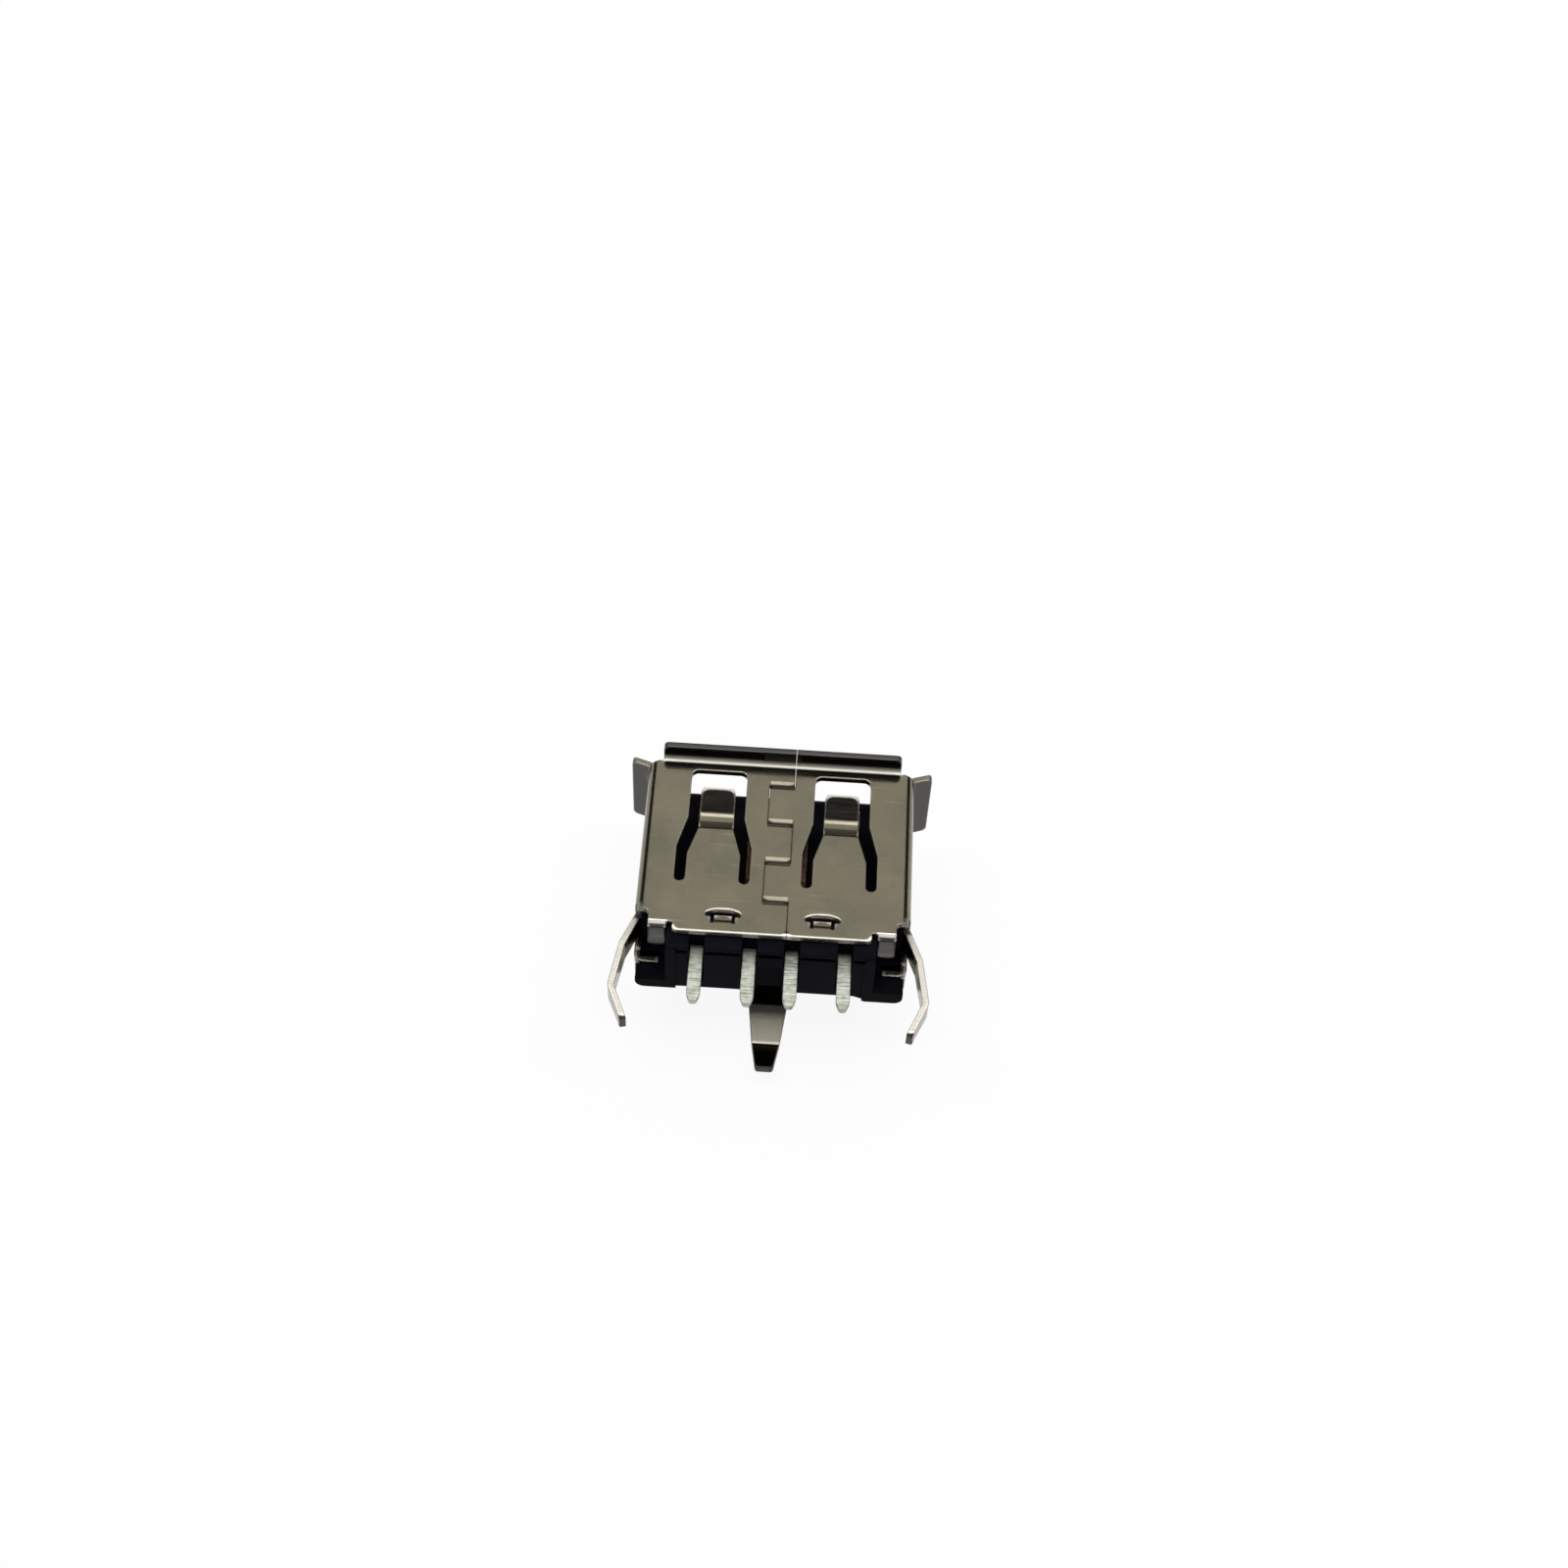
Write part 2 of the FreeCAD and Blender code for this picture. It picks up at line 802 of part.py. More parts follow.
def rear_recesses():
    """The groove under the rear lip and the recess between the two middle contacts."""
    groove_top = mould_top - lip_thickness
    groove_end = rear_face + lip_groove_depth
    groove = box(-foot_inner, foot_inner, board_seat, groove_end, groove_top - lip_groove_height, groove_top)
    half = middle_recess_width / 2
    floor = rear_face + middle_recess_depth
    recess = box(-half, half, board_seat, floor, rear_block_bottom, middle_recess_top)
    return [groove, recess]


def make_insulator(contact_places):
    """The black moulding: rear block with feet, base inside the shell, and the tongue."""
    left_foot = mirrored(mould_foot(left_foot_bottom))[1]
    body = mould_base().fuse([mould_foot(right_foot_bottom), left_foot, tongue()])
    cuts = corner_pockets() + rear_recesses()
    for side in (-1, 1):
        cuts.append(lance_pocket(side * seam_lance_spacing / 2, seam_lance_start))
        cuts.append(on_far_wall(lance_pocket(side * far_lance_spacing / 2, far_lance_start)))
    for x in contact_places:
        cuts += contact_space(x)
    return body.cut(cuts).removeSplitter()


def main():
    """Builds every piece, lays the socket down on Z = 0 and writes one file for each."""
    inner = inner_pitch / 2
    outer = inner + outer_pitch
    contacts = {
        "contact_power": -outer,
        "contact_data_minus": -inner,
        "contact_data_plus": inner,
        "contact_ground": outer,
    }
    pieces = {"shell": make_shell(), "insulator": make_insulator(list(contacts.values()))}
    for name, x in contacts.items():
        pieces[name] = make_contact(x)
    extent = pieces["shell"].optimalBoundingBox()
    rest = V(0, -(extent.YMin + extent.YMax) / 2, -extent.ZMin)
    os.makedirs("parts", exist_ok=True)
    for name, shape in pieces.items():
        shape.translate(rest)
        shape.exportStep("parts/" + name + ".step")
        size = shape.optimalBoundingBox()
        print(name, shape.isValid(), len(shape.Solids), "solid, volume", round(shape.Volume, 3))
        print("  ", [round(v, 3) for v in (size.XMin, size.XMax, size.YMin, size.YMax, size.ZMin, size.ZMax)])
    print("moved by", round(rest.y, 4), round(rest.z, 4))


main()
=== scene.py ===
import math

import bpy
import numpy as np
from mathutils import Matrix, Vector

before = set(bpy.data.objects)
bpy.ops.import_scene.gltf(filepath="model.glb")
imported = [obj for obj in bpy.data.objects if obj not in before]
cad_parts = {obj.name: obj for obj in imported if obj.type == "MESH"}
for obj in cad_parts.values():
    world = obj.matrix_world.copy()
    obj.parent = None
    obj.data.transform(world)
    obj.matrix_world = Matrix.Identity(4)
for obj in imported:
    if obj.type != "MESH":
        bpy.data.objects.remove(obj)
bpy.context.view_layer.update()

# Sizes in metres and colours in linear light
MM = 0.001

# Camera: its place, its three axes and its lens, found by fitting the socket's edges
CAMERA_PLACE = (0.000574, -0.065509, 0.101940)
CAMERA_RIGHT = (0.99814, 0.05095, 0.03334)
CAMERA_UP = (-0.06078, 0.79990, 0.59704)
CAMERA_BACK = (0.00375, -0.59796, 0.80152)
CAMERA_LENS = 55.69
CAMERA_SENSOR = 36.0
CAMERA_NEAR = 0.001
CAMERA_FAR = 50.0

# Nickel plating on the folded sheet
NICKEL_SHADE = (0.156, 0.148, 0.104)
NICKEL_LIGHT = (0.222, 0.194, 0.138)
# Pale edge colour: part real wear, part painted highlight, also on concave bends
NICKEL_EDGE_WEAR_AND_HIGHLIGHT = (0.60, 0.56, 0.47)
# Painted shade for faces that turn towards the rear and for the ends of the legs
NICKEL_REAR_SHADE = (0.075, 0.070, 0.066)
NICKEL_EDGE_SIZE = 0.12 * MM
# A gain is how fast an effect grows to its full share
NICKEL_EDGE_GAIN = 1.8
NICKEL_REAR_SHADE_GAIN = 1.3
NICKEL_PATCHES = {"Scale": 420.0, "Detail": 5.0, "Roughness": 0.65}
# A pair of numbers is what an effect gives at the low and the high end of its pattern
NICKEL_ROUGHNESS = (0.2, 0.13)
NICKEL_GRAIN = {"Scale": 9000.0, "Detail": 2.0, "Roughness": 0.5}
NICKEL_BUMP = {"Strength": 0.12, "Distance": 0.004 * MM}
ROLLING_LINES = {"Stretch": (400.0, 14000.0, 14000.0), "Detail": 3.0}
ROLLING_ROUGHNESS = (-0.02, 0.04)
SCRATCHES = {"Stretch": (260.0, 5200.0, 900.0), "Detail": 1.0, "From": 0.66, "To": 0.76}
SCRATCH_WEAR = 0.12

# What shows where the sheet was cut or bent, and in the seam: painted highlight on shining cut faces and
# on bends, and painted shade on the cut faces in the seam, on the corner tabs and on the flange's edge
CUT_HIGHLIGHT_COLOUR = (0.95, 0.91, 0.82)
DULL_CUT_COLOUR = (0.34, 0.32, 0.28)
CUT_SHADE_COLOUR = (0.03, 0.026, 0.02)
FLANGE_EDGE_SHADE_COLOUR = (0.085, 0.082, 0.075)
CUT_DEPTH = 0.28 * MM
# The shares of free rays at which a cut's rims end, and how far below them the rims are full
CUT_OPEN_DULL = 0.57
CUT_OPEN_SHINING = 0.69
CUT_OPEN_LEG = 0.78
CUT_SPREAD = 0.1
CUT_ROUGHNESS = 0.5
SEAM_ROUGHNESS = 0.38
SEAM_SLOPE_GAIN = 10.0
# How much painted highlight the cut faces get in each place, from 0 for dull to 1 for shining, and which
# bends get a painted highlight
CUT_HIGHLIGHT_SHARES = {"side_leg": 0.6, "rear_edge": 1.0, "lance": 1.0, "finger_tip": 0.35}
PAINTED_BEND_HIGHLIGHTS = ("flange_root", "corner_tab_bend", "centre_leg_bend")

# The dull middle of the centre leg
DULL_COLOUR = (0.46, 0.43, 0.34)
DULL_METALLIC = 0.55
DULL_ROUGHNESS = 0.45

# Places on the right half of the socket, mirrored to the left, in millimetres
PLACES = {
    # Each is the centre of a box, half its size, and the width of its soft border
    "seam": ((0.07, 2.05, 6.9), (0.85, 5.25, 0.8), 0.05),
    "rear_edge": ((0.0, -3.35, 6.6), (6.1, 0.4, 0.9), 0.1),
    "lance": ((2.9, -1.75, 6.6), (1.6, 0.55, 0.9), 0.1),
    "finger_tip": ((3.3, 5.15, 6.3), (1.2, 0.35, 0.9), 0.1),
    "flange_edge_shade": ((0.0, 7.0, 7.6), (7.0, 0.5, 0.12), 0.05),
    "flange_root": ((0.0, 6.62, 6.75), (6.0, 0.13, 0.15), 0.05),
    "corner_tab": ((5.42, -3.1, 5.7), (0.6, 0.45, 0.8), 0.05),
    "corner_tab_bend": ((5.42, -2.9, 6.7), (0.5, 0.13, 0.2), 0.05),
    "side_leg": ((7.1, -4.6, 4.4), (0.75, 2.9, 1.3), 0.1),
    "side_leg_end": ((6.7, -7.25, 4.4), (1.0, 0.27, 1.4), 0.08),
    "centre_leg": ((0.0, -4.44, 0.8), (1.3, 0.94, 1.2), 0.08),
    "centre_leg_bend": ((0.0, -5.37, 0.5), (1.3, 0.075, 0.8), 0.05),
    "centre_leg_end": ((0.0, -7.25, 0.6), (1.0, 0.3, 0.9), 0.05),
    "contact_beam": ((0.0, 2.5, 4.4), (5.0, 3.9, 2.0), 0.5),
}

# Tin on the contacts' tails, and bare bronze on their beams, darkened with painted shade
TIN_SHADE = (0.19, 0.205, 0.17)
TIN_LIGHT = (0.56, 0.58, 0.505)
TIN_EDGE_SIZE = 0.08 * MM
TIN_ROUGHNESS = (0.5, 0.36)
TIN_LINES = {"Stretch": (900.0, 11000.0, 900.0), "Detail": 4.0, "From": 0.36, "To": 0.58}
TIN_LINE_SHARE = (0.15, 0.8)
TIN_FLECKS = {"Scale": 3200.0, "Detail": 3.0, "Roughness": 0.6}
TIN_FLECK_SHARE = (-0.25, 0.25)
TIN_BUMP = {"Strength": 0.4, "Distance": 0.01 * MM}
BRONZE_SHADED_LOW = (0.035, 0.02, 0.013)
BRONZE_SHADED_HIGH = (0.10, 0.055, 0.035)

# Black moulding
MOULDING_SHADE = (0.0030, 0.0032, 0.0050)
MOULDING_LIGHT = (0.0068, 0.0072, 0.0108)
MOULDING_EDGE_SIZE = 0.07 * MM
MOULDING_ROUGHNESS = (0.42, 0.55)
MOULDING_SPECULAR = 0.015
MOULDING_PATCHES = {"Scale": 900.0, "Detail": 4.0, "Roughness": 0.6}
MOULDING_GRAIN = {"Scale": 12000.0, "Detail": 2.0, "Roughness": 0.5}
MOULDING_BUMP = {"Strength": 0.25, "Distance": 0.006 * MM}

# Shared groups
EDGE_SAMPLES = 8
CUT_SAMPLES = 12
# The noise levels at which the mottle starts and is full
MOTTLE_LOW = 0.3
MOTTLE_HIGH = 0.7
LINE_NOISE_ROUGHNESS = 0.55

# Floor, and the low wall round it
FLOOR_COLOUR = (0.93, 0.93, 0.93)
# The share of plain white in what the camera and reflections see of the floor
FLOOR_WHITE = 0.92
FLOOR_RADIUS = 1.2
FLOOR_HOLE = 0.001
FLOOR_ROWS = 12
WALL_COLOUR = (0.22, 0.22, 0.23)
WALL_ROUGHNESS = 0.9
WALL_HEIGHT = 0.6
WALL_ROWS = 16
ROUND_COLUMNS = 96

# Room and lamps
ROOM_COLOUR = (0.05, 0.05, 0.055)
# A lamp's power for each unit of its area and of its radiance
POWER_PER_RADIANCE = 4.0
LAMPS = (
    # Each is the name, centre, width, depth and radiance of a lamp
    ("overhead", (0.0, 0.06, 0.8), 1.6, 0.22, 4.2),
    ("overhead_strip", (0.0, 0.21, 0.78), 1.6, 0.06, 1.8),
    ("behind_camera", (0.0, -0.88, 0.37), 1.4, 0.26, 0.8),
    ("behind_mouth", (0.0, 0.529, 0.728), 1.8, 0.8, 0.75),
)


def set_node(tree, kind, links=None, **settings):
    """Adds a node: settings are its own properties, links are values or sockets for its inputs."""
    node = tree.nodes.new(kind)
    for name, value in settings.items():
        setattr(node, name, value)
    for socket, value in (links or {}).items():
        if isinstance(value, bpy.types.NodeSocket):
            tree.links.new(value, node.inputs[socket])
        else:
            node.inputs[socket].default_value = value
    return node


def calculate(tree, operation, first, second=0.0, clamp=False):
    """The result of an operation on two values or sockets, kept from 0 to 1 where clamp is set."""
    links = {0: first, 1: second}
    return set_node(tree, "ShaderNodeMath", links, operation=operation, use_clamp=clamp).outputs[0]


def calculate_vector(tree, operation, first, second=(0.0, 0.0, 0.0)):
    """The result of an operation on two vectors or sockets."""
    links = {0: first, 1: second}
    return set_node(tree, "ShaderNodeVectorMath", links, operation=operation).outputs["Vector"]


def split_vector(tree, vector):
    """The three parts of a vector, by the names of their axes."""
    return set_node(tree, "ShaderNodeSeparateXYZ", {0: vector}).outputs


def share_between(tree, value, first, last):
    """How far the value lies on the way from first to last, from zero to one."""
    node = set_node(tree, "ShaderNodeMapRange", {"Value": value, "From Min": first, "From Max": last})
    return node.outputs["Result"]


def blend_value(tree, value, low, high):
    """The value from 0 to 1 spread between low and high."""
    node = set_node(tree, "ShaderNodeMapRange", {"Value": value, "To Min": low, "To Max": high})
    return node.outputs["Result"]


def opposite(tree, mask):
    """One minus a mask."""
    return calculate(tree, "SUBTRACT", 1.0, mask)


def largest(tree, masks):
    """The largest of several masks."""
    result = masks[0]
    for mask in masks[1:]:
        result = calculate(tree, "MAXIMUM", result, mask)
    return result


def mix_colour(tree, amount, first, second):
    """A blend of two colours by an amount from 0 to 1."""
    node = set_node(tree, "ShaderNodeMix", data_type="RGBA")
    tree.links.new(amount, node.inputs[0])
    for index, value in ((6, first), (7, second)):
        if isinstance(value, bpy.types.NodeSocket):
            tree.links.new(value, node.inputs[index])
        else:
            node.inputs[index].default_value = (*value, 1.0)
    return node.outputs[2]


def new_group(name, inputs, outputs):
    """An empty shader group with named sockets. Each input is its name, kind and first value."""
    group = bpy.data.node_groups.new(name, "ShaderNodeTree")
    for label, kind, value in inputs:
        socket = group.interface.new_socket(name=label, in_out="INPUT", socket_type=kind)
        socket.default_value = value
    for label, kind in outputs:
        group.interface.new_socket(name=label, in_out="OUTPUT", socket_type=kind)
    given = group.nodes.new("NodeGroupInput")
    result = group.nodes.new("NodeGroupOutput")
    return group, given.outputs, result.inputs


def use_group(tree, group, links):
    """Places a shared group in a material, sets its inputs and gives its outputs."""
    return set_node(tree, "ShaderNodeGroup", links, node_tree=group).outputs


def build_rounded_edges():
    """Edge group: a normal averaged within Radius, and a mask of what lies within Reach of an edge.

    The mask is one minus the dot product of the true normal and one averaged within Reach, times Gain.
    """
    group, given, result = new_group(
        "rounded_edges",
        [
            ("Radius", "NodeSocketFloat", 0.1 * MM),
            ("Reach", "NodeSocketFloat", 0.1 * MM),
            ("Gain", "NodeSocketFloat", 4.0),
        ],
        [("Normal", "NodeSocketVector"), ("Edge", "NodeSocketFloat")],
    )
    bevel = set_node(group, "ShaderNodeBevel", {"Radius": given["Radius"]}, samples=EDGE_SAMPLES)
    wide = set_node(group, "ShaderNodeBevel", {"Radius": given["Reach"]}, samples=EDGE_SAMPLES)
    surface = set_node(group, "ShaderNodeNewGeometry")
    likeness = set_node(
        group,
        "ShaderNodeVectorMath",
        {0: wide.outputs["Normal"], 1: surface.outputs["Normal"]},
        operation="DOT_PRODUCT",
    )
    away = opposite(group, likeness.outputs["Value"])
    edge = calculate(group, "MULTIPLY", away, given["Gain"], clamp=True)
    group.links.new(bevel.outputs["Normal"], result["Normal"])
    group.links.new(edge, result["Edge"])
    return group


def build_mottle():
    """Mottle group: noise on object coordinates, spread from Low to High, in patches 1 / Scale wide."""
    group, given, result = new_group(
        "mottle",
        [
            ("Scale", "NodeSocketFloat", 400.0),
            ("Detail", "NodeSocketFloat", 4.0),
            ("Roughness", "NodeSocketFloat", 0.6),
            ("Low", "NodeSocketFloat", 0.0),
            ("High", "NodeSocketFloat", 1.0),
        ],
        [("Value", "NodeSocketFloat")],
    )
    place = set_node(group, "ShaderNodeTexCoord")
    noise = set_node(
        group,
        "ShaderNodeTexNoise",
        {
            "Vector": place.outputs["Object"],
            "Scale": given["Scale"],
            "Detail": given["Detail"],
            "Roughness": given["Roughness"],
        },
    )
    spread = set_node(
        group,
        "ShaderNodeMapRange",
        {
            "Value": noise.outputs["Fac"],
            "From Min": MOTTLE_LOW,
            "From Max": MOTTLE_HIGH,
            "To Min": given["Low"],
            "To Max": given["High"],
        },
    )
    group.links.new(spread.outputs["Result"], result["Value"])
    return group


def build_fine_lines():
    """Line group: noise stretched by Stretch, so that it varies fast across the lines and slowly along."""
    group, given, result = new_group(
        "fine_lines",
        [
            ("Stretch", "NodeSocketVector", (1.0, 1.0, 1.0)),
            ("Detail", "NodeSocketFloat", 3.0),
            ("From", "NodeSocketFloat", 0.4),
            ("To", "NodeSocketFloat", 0.65),
        ],
        [("Value", "NodeSocketFloat")],
    )
    place = set_node(group, "ShaderNodeTexCoord")
    noise = set_node(
        group,
        "ShaderNodeTexNoise",
        {
            "Vector": calculate_vector(group, "MULTIPLY", place.outputs["Object"], given["Stretch"]),
            "Scale": 1.0,
            "Detail": given["Detail"],
            "Roughness": LINE_NOISE_ROUGHNESS,
        },
    )
    spread = share_between(group, noise.outputs["Fac"], given["From"], given["To"])
    group.links.new(spread, result["Value"])
    return group


def build_cut_faces():
    """Cut group: a mask of the faces and rims where the sheet was cut.

    Rays sent into the metal from a wide face meet nothing within Depth, which is a little less than
    the sheet's thickness. From a cut face most of them meet a side of the sheet. Open is the share
    of free rays at which the mask ends: the larger it is, the wider the rims on the wide faces.
    """
    group, given, result = new_group(
        "cut_faces",
        [
            ("Depth", "NodeSocketFloat", 0.3 * MM),
            ("Open", "NodeSocketFloat", 0.6),
        ],
        [("Cut", "NodeSocketFloat")],
    )
    inward = set_node(
        group,
        "ShaderNodeAmbientOcclusion",
        {"Distance": given["Depth"]},
        inside=True,
        only_local=True,
        samples=CUT_SAMPLES,
    )
    closed = calculate(group, "SUBTRACT", given["Open"], CUT_SPREAD)
    cut = share_between(group, inward.outputs["AO"], given["Open"], closed)
    group.links.new(cut, result["Cut"])
    return group


def build_box_mask():
    """Box group: one inside a box of object coordinates, zero outside, with a soft border.

    The box and its mirror image on the other side of the middle plane both count.
    """
    group, given, result = new_group(
        "box_mask",
        [
            ("Centre", "NodeSocketVector", (0.0, 0.0, 0.0)),
            ("Half Size", "NodeSocketVector", (1.0, 1.0, 1.0)),
            ("Border", "NodeSocketFloat", 0.1 * MM),
        ],
        [("Inside", "NodeSocketFloat")],
    )
    place = set_node(group, "ShaderNodeTexCoord")
    axes = split_vector(group, place.outputs["Object"])
    across = calculate(group, "ABSOLUTE", axes["X"])
    folded = set_node(group, "ShaderNodeCombineXYZ", {"X": across, "Y": axes["Y"], "Z": axes["Z"]})
    offset = calculate_vector(group, "SUBTRACT", folded.outputs["Vector"], given["Centre"])
    distance = calculate_vector(group, "ABSOLUTE", offset)
    room = split_vector(group, calculate_vector(group, "SUBTRACT", given["Half Size"], distance))
    least = calculate(group, "MINIMUM", calculate(group, "MINIMUM", room["X"], room["Y"]), room["Z"])
    inside = share_between(group, least, 0.0, given["Border"])
    group.links.new(inside, result["Inside"])
    return group


rounded_edges = build_rounded_edges()
mottle = build_mottle()
fine_lines = build_fine_lines()
cut_faces = build_cut_faces()
box_mask = build_box_mask()


def inside_place(tree, name):
    """The mask of one of the places on the socket."""
    centre, half_size, border = PLACES[name]
    links = {
        "Centre": [value * MM for value in centre],
        "Half Size": [value * MM for value in half_size],
        "Border": border * MM,
    }
    return use_group(tree, box_mask, links)["Inside"]


def new_material(name):
    """An empty node material with its shader and output."""
    material = bpy.data.materials.new(name)
    material.use_nodes = True
    tree = material.node_tree
    tree.nodes.clear()
    shader = tree.nodes.new("ShaderNodeBsdfPrincipled")
    output = tree.nodes.new("ShaderNodeOutputMaterial")
    tree.links.new(shader.outputs["BSDF"], output.inputs["Surface"])
    return material, tree, shader


def add_bumps(tree, shader, size, height, normal):
    """Fine bumps over a material's rounded edges. Size holds their strength and distance."""
    bump = set_node(tree, "ShaderNodeBump", {**size, "Height": height, "Normal": normal})
    tree.links.new(bump.outputs["Normal"], shader.inputs["Normal"])


def place_cut_highlight(tree):
    """How much painted highlight a cut face gets, by its place: from zero for dull to one for shining."""
    shares = []
    for name, shine in CUT_HIGHLIGHT_SHARES.items():
        shares.append(calculate(tree, "MULTIPLY", inside_place(tree, name), shine))
    return largest(tree, shares)


def cut_mask(tree, cut_highlight):
    """The mask of the sheet's cut faces, whose rims are wider where the cuts get more painted highlight.
    """
    open_share = calculate(
        tree,
        "ADD",
        blend_value(tree, cut_highlight, CUT_OPEN_DULL, CUT_OPEN_SHINING),
        blend_value(tree, inside_place(tree, "side_leg"), 0.0, CUT_OPEN_LEG - CUT_OPEN_SHINING),
    )
    return use_group(tree, cut_faces, {"Depth": CUT_DEPTH, "Open": open_share})["Cut"]


def nickel_sheet():
    """Satin nickel on rolled sheet: soft patches, rolling lines, scratches, and edges lightened by wear
    and by painted highlight.

    Cut faces get painted highlight at the rear edge, the lances, the finger tips and the side legs. They
    get painted shade in the seam and on the corner tabs, and are dull elsewhere. The bends at the
    flange's root, on the corner tabs and on the centre leg get painted highlight. Faces towards the board,
    the flange's edge and the ends of the legs get painted shade. The marks on the seam are rough, and the
    centre leg is dull.
    """
    material, tree, shader = new_material("nickel_sheet")
    edges = use_group(
        tree,
        rounded_edges,
        {"Radius": NICKEL_EDGE_SIZE, "Reach": NICKEL_EDGE_SIZE, "Gain": NICKEL_EDGE_GAIN},
    )
    patches = use_group(tree, mottle, NICKEL_PATCHES)["Value"]
    grain = use_group(tree, mottle, NICKEL_GRAIN)["Value"]
    rolling = use_group(tree, fine_lines, ROLLING_LINES)["Value"]
    scratches = use_group(tree, fine_lines, SCRATCHES)["Value"]
    # Painted shade on the flange's edge
    flange_edge_shade = inside_place(tree, "flange_edge_shade")
    seam = calculate(tree, "MULTIPLY", inside_place(tree, "seam"), opposite(tree, flange_edge_shade))
    # Painted shade on the cut faces in the seam and on the corner tabs
    cut_shade = largest(tree, [seam, inside_place(tree, "corner_tab")])
    # Painted shade on the ends of the legs
    leg_end_shade = largest(tree, [inside_place(tree, "side_leg_end"), inside_place(tree, "centre_leg_end")])
    # Painted highlight on the bends at the flange's root, on the corner tabs and on the centre leg
    bend_highlight = largest(tree, [inside_place(tree, name) for name in PAINTED_BEND_HIGHLIGHTS])
    dull_leg = inside_place(tree, "centre_leg")
    cut_highlight = place_cut_highlight(tree)
    cut = cut_mask(tree, cut_highlight)

    surface = set_node(tree, "ShaderNodeNewGeometry")
    facing = split_vector(tree, surface.outputs["Normal"])
    # Painted shade that grows as a face turns towards the rear
    rear_face_shade = calculate(tree, "MULTIPLY", facing["Y"], -NICKEL_REAR_SHADE_GAIN)
    rear_face_shade = calculate(tree, "MAXIMUM", rear_face_shade, 0.0)
    steepness = opposite(tree, calculate(tree, "ABSOLUTE", facing["Z"]))
    slope = calculate(tree, "MULTIPLY", steepness, SEAM_SLOPE_GAIN)
    slope = calculate(tree, "MINIMUM", slope, 1.0)
    marks = calculate(tree, "MULTIPLY", seam, slope)
    # Edges and bends lightened: part wear, part painted highlight, left out in the seam, on the corner
    # tabs and on the flange's edge
    no_edge_wear_and_highlight = largest(tree, [cut_shade, flange_edge_shade])
    edge_wear_and_highlight = calculate(tree, "MULTIPLY", edges["Edge"], opposite(tree, no_edge_wear_and_highlight))
    edge_wear_and_highlight = largest(tree, [edge_wear_and_highlight, calculate(tree, "MULTIPLY", scratches, SCRATCH_WEAR)])

    plating = mix_colour(tree, patches, NICKEL_SHADE, NICKEL_LIGHT)
    plating = mix_colour(tree, rear_face_shade, plating, NICKEL_REAR_SHADE)
    sheet_colour = mix_colour(tree, edge_wear_and_highlight, plating, NICKEL_EDGE_WEAR_AND_HIGHLIGHT)
    sheet_colour = mix_colour(tree, dull_leg, sheet_colour, DULL_COLOUR)
    # Cut faces: dull bare metal, lightened by painted highlight where they shine, darkened by painted
    # shade in the seam and on the corner tabs
    cut_colour = mix_colour(tree, cut_highlight, DULL_CUT_COLOUR, CUT_HIGHLIGHT_COLOUR)
    cut_colour = mix_colour(tree, cut_shade, cut_colour, CUT_SHADE_COLOUR)
    metal_colour = mix_colour(tree, cut, sheet_colour, cut_colour)
    metal_colour = mix_colour(tree, flange_edge_shade, metal_colour, FLANGE_EDGE_SHADE_COLOUR)
    metal_colour = mix_colour(tree, bend_highlight, metal_colour, CUT_HIGHLIGHT_COLOUR)
    metal_colour = mix_colour(tree, leg_end_shade, metal_colour, NICKEL_REAR_SHADE)
    tree.links.new(metal_colour, shader.inputs["Base Color"])
    tree.links.new(blend_value(tree, dull_leg, 1.0, DULL_METALLIC), shader.inputs["Metallic"])

    roughness = calculate(
        tree,
        "ADD",
        blend_value(tree, patches, *NICKEL_ROUGHNESS),
        blend_value(tree, rolling, *ROLLING_ROUGHNESS),
    )
    roughness = blend_value(tree, marks, roughness, SEAM_ROUGHNESS)
    roughness = blend_value(tree, dull_leg, roughness, DULL_ROUGHNESS)
    roughness = blend_value(tree, largest(tree, [cut, bend_highlight]), roughness, CUT_ROUGHNESS)
    tree.links.new(roughness, shader.inputs["Roughness"])
    add_bumps(tree, shader, NICKEL_BUMP, calculate(tree, "ADD", grain, rolling), edges["Normal"])
    return material


def tinned_contact():
    """Matte tin on a punched tail, with fine lines across it and darker flecks, and a bronze beam darkened
    with painted shade.
    """
    material, tree, shader = new_material("tinned_contact")
    edges = use_group(tree, rounded_edges, {"Radius": TIN_EDGE_SIZE})
    across = use_group(tree, fine_lines, TIN_LINES)["Value"]
    flecks = use_group(tree, mottle, TIN_FLECKS)["Value"]
    amount = calculate(
        tree,
        "ADD",
        blend_value(tree, across, *TIN_LINE_SHARE),
        blend_value(tree, flecks, *TIN_FLECK_SHARE),
    )
    tin_colour = mix_colour(tree, amount, TIN_SHADE, TIN_LIGHT)
    # Bronze darkened with painted shade inside the shell
    shaded_bronze_colour = mix_colour(tree, flecks, BRONZE_SHADED_LOW, BRONZE_SHADED_HIGH)
    contact_colour = mix_colour(tree, inside_place(tree, "contact_beam"), tin_colour, shaded_bronze_colour)
    tree.links.new(contact_colour, shader.inputs["Base Color"])
    shader.inputs["Metallic"].default_value = 1.0
    tree.links.new(blend_value(tree, flecks, *TIN_ROUGHNESS), shader.inputs["Roughness"])
    add_bumps(tree, shader, TIN_BUMP, amount, edges["Normal"])
    return material


